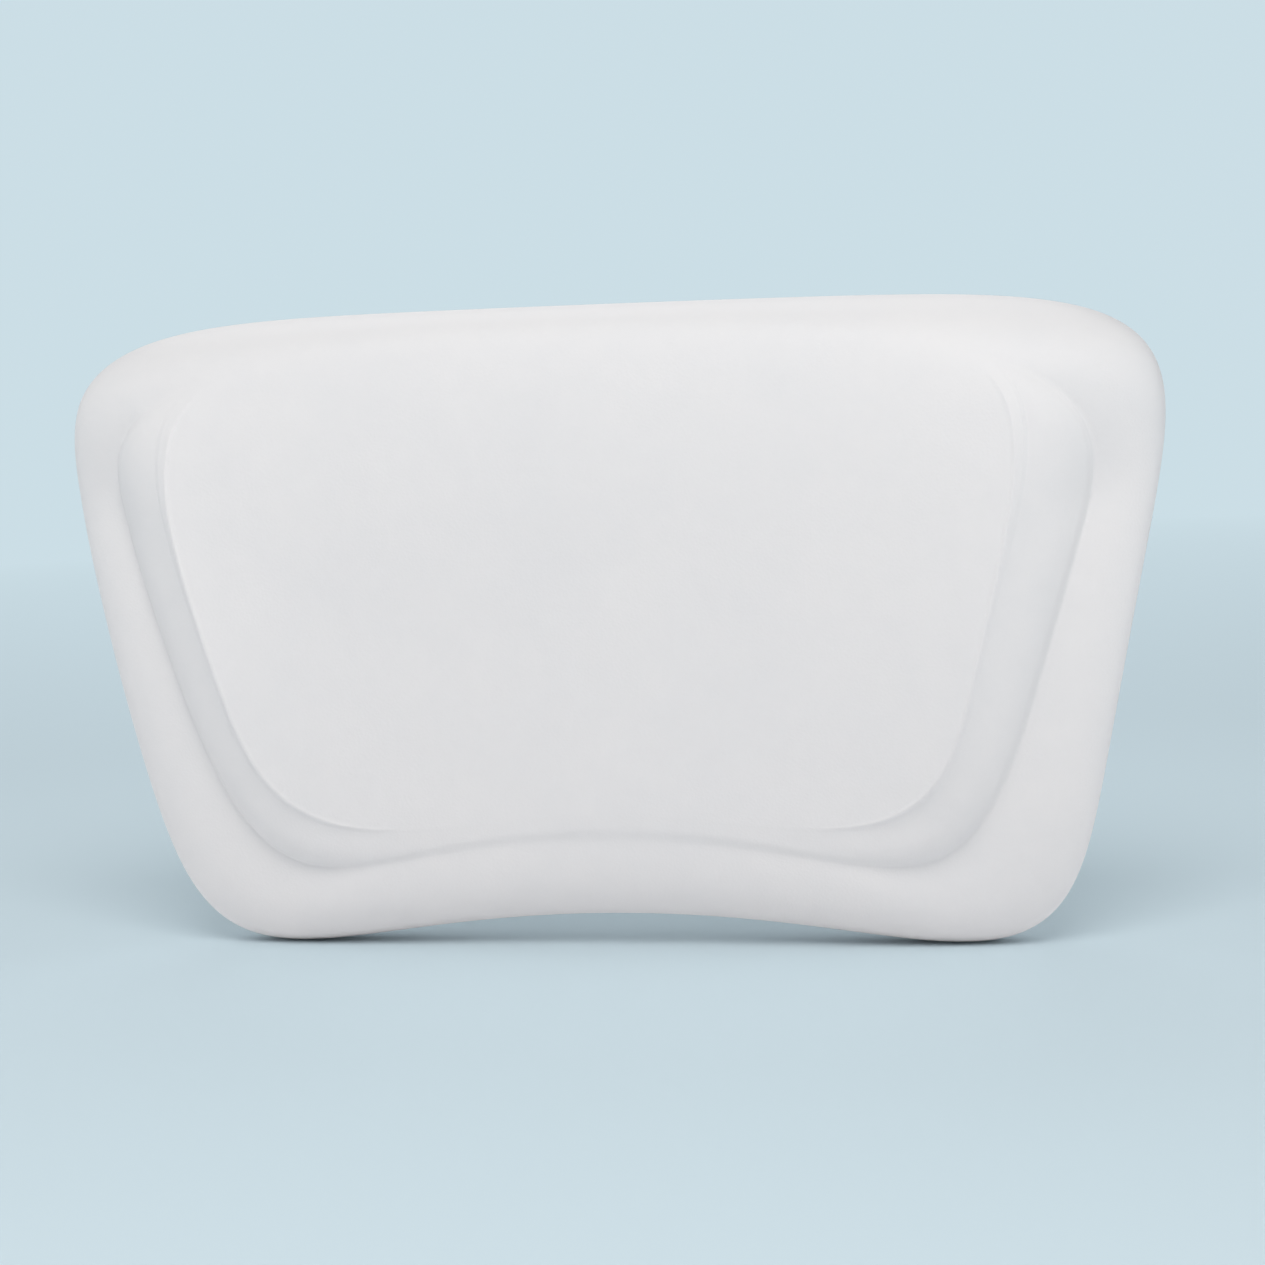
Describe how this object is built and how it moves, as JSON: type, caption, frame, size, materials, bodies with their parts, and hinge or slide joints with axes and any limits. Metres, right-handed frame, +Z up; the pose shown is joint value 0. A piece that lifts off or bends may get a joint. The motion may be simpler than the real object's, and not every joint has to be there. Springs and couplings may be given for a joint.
{
  "type": "bath pillow",
  "caption": "Moulded foam bath pillow with a raised, dished head panel; suction cups in keyhole sockets on the back hold it on a tub wall.",
  "frame": {"origin": "on the plane of the tub wall that the suction cups' rims touch, behind the middle of the body", "axes": "+X to the right of someone looking at the front, +Y into the tub wall, +Z up; the front of the pillow faces -Y"},
  "size_m": [0.32, 0.0594, 0.186],
  "materials": {
    "skin": "satin white polyurethane skin with a fine moulded grain",
    "foam": "open foam, not seen from outside",
    "insert": "matt moulded plastic",
    "moulding": "satin moulded plastic, natural white",
    "cup": "glossy soft vinyl, cloudy and slightly clear"
  },
  "bodies": {
    "pillow": {"front_skin": "skin", "back_skin": "skin", "foam_core": "foam", "insert_plate": "insert", "upper_left_socket": "moulding", "upper_right_socket": "moulding", "lower_left_socket": "moulding", "lower_right_socket": "moulding", "upper_left_socket_cap": "moulding", "upper_right_socket_cap": "moulding", "lower_left_socket_cap": "moulding", "lower_right_socket_cap": "moulding"},
    "upper_left_slider": {"upper_left_stem": "moulding"},
    "upper_left_cup": {"upper_left_suction_cup": "cup"},
    "upper_right_slider": {"upper_right_stem": "moulding"},
    "upper_right_cup": {"upper_right_suction_cup": "cup"},
    "lower_left_slider": {"lower_left_stem": "moulding"},
    "lower_left_cup": {"lower_left_suction_cup": "cup"},
    "lower_right_slider": {"lower_right_stem": "moulding"},
    "lower_right_cup": {"lower_right_suction_cup": "cup"}
  },
  "joints": [
    {"name": "upper_left_slide", "type": "slide", "parent": "pillow", "child": "upper_left_slider", "axis": [0, 0, -1], "range_m": [0, 0.01]},
    {"name": "upper_left_spin", "type": "hinge", "parent": "upper_left_slider", "child": "upper_left_cup", "pos_m": [-0.104, 0, 0.03802], "axis": [0, 1, 0], "continuous": true},
    {"name": "upper_right_slide", "type": "slide", "parent": "pillow", "child": "upper_right_slider", "axis": [0, 0, -1], "range_m": [0, 0.01]},
    {"name": "upper_right_spin", "type": "hinge", "parent": "upper_right_slider", "child": "upper_right_cup", "pos_m": [0.104, 0, 0.03802], "axis": [0, 1, 0], "continuous": true},
    {"name": "lower_left_slide", "type": "slide", "parent": "pillow", "child": "lower_left_slider", "axis": [0, 0, -1], "range_m": [0, 0.01]},
    {"name": "lower_left_spin", "type": "hinge", "parent": "lower_left_slider", "child": "lower_left_cup", "pos_m": [-0.064, 0, -0.02994], "axis": [0, 1, 0], "continuous": true},
    {"name": "lower_right_slide", "type": "slide", "parent": "pillow", "child": "lower_right_slider", "axis": [0, 0, -1], "range_m": [0, 0.01]},
    {"name": "lower_right_spin", "type": "hinge", "parent": "lower_right_slider", "child": "lower_right_cup", "pos_m": [0.064, 0, -0.02994], "axis": [0, 1, 0], "continuous": true}
  ]
}
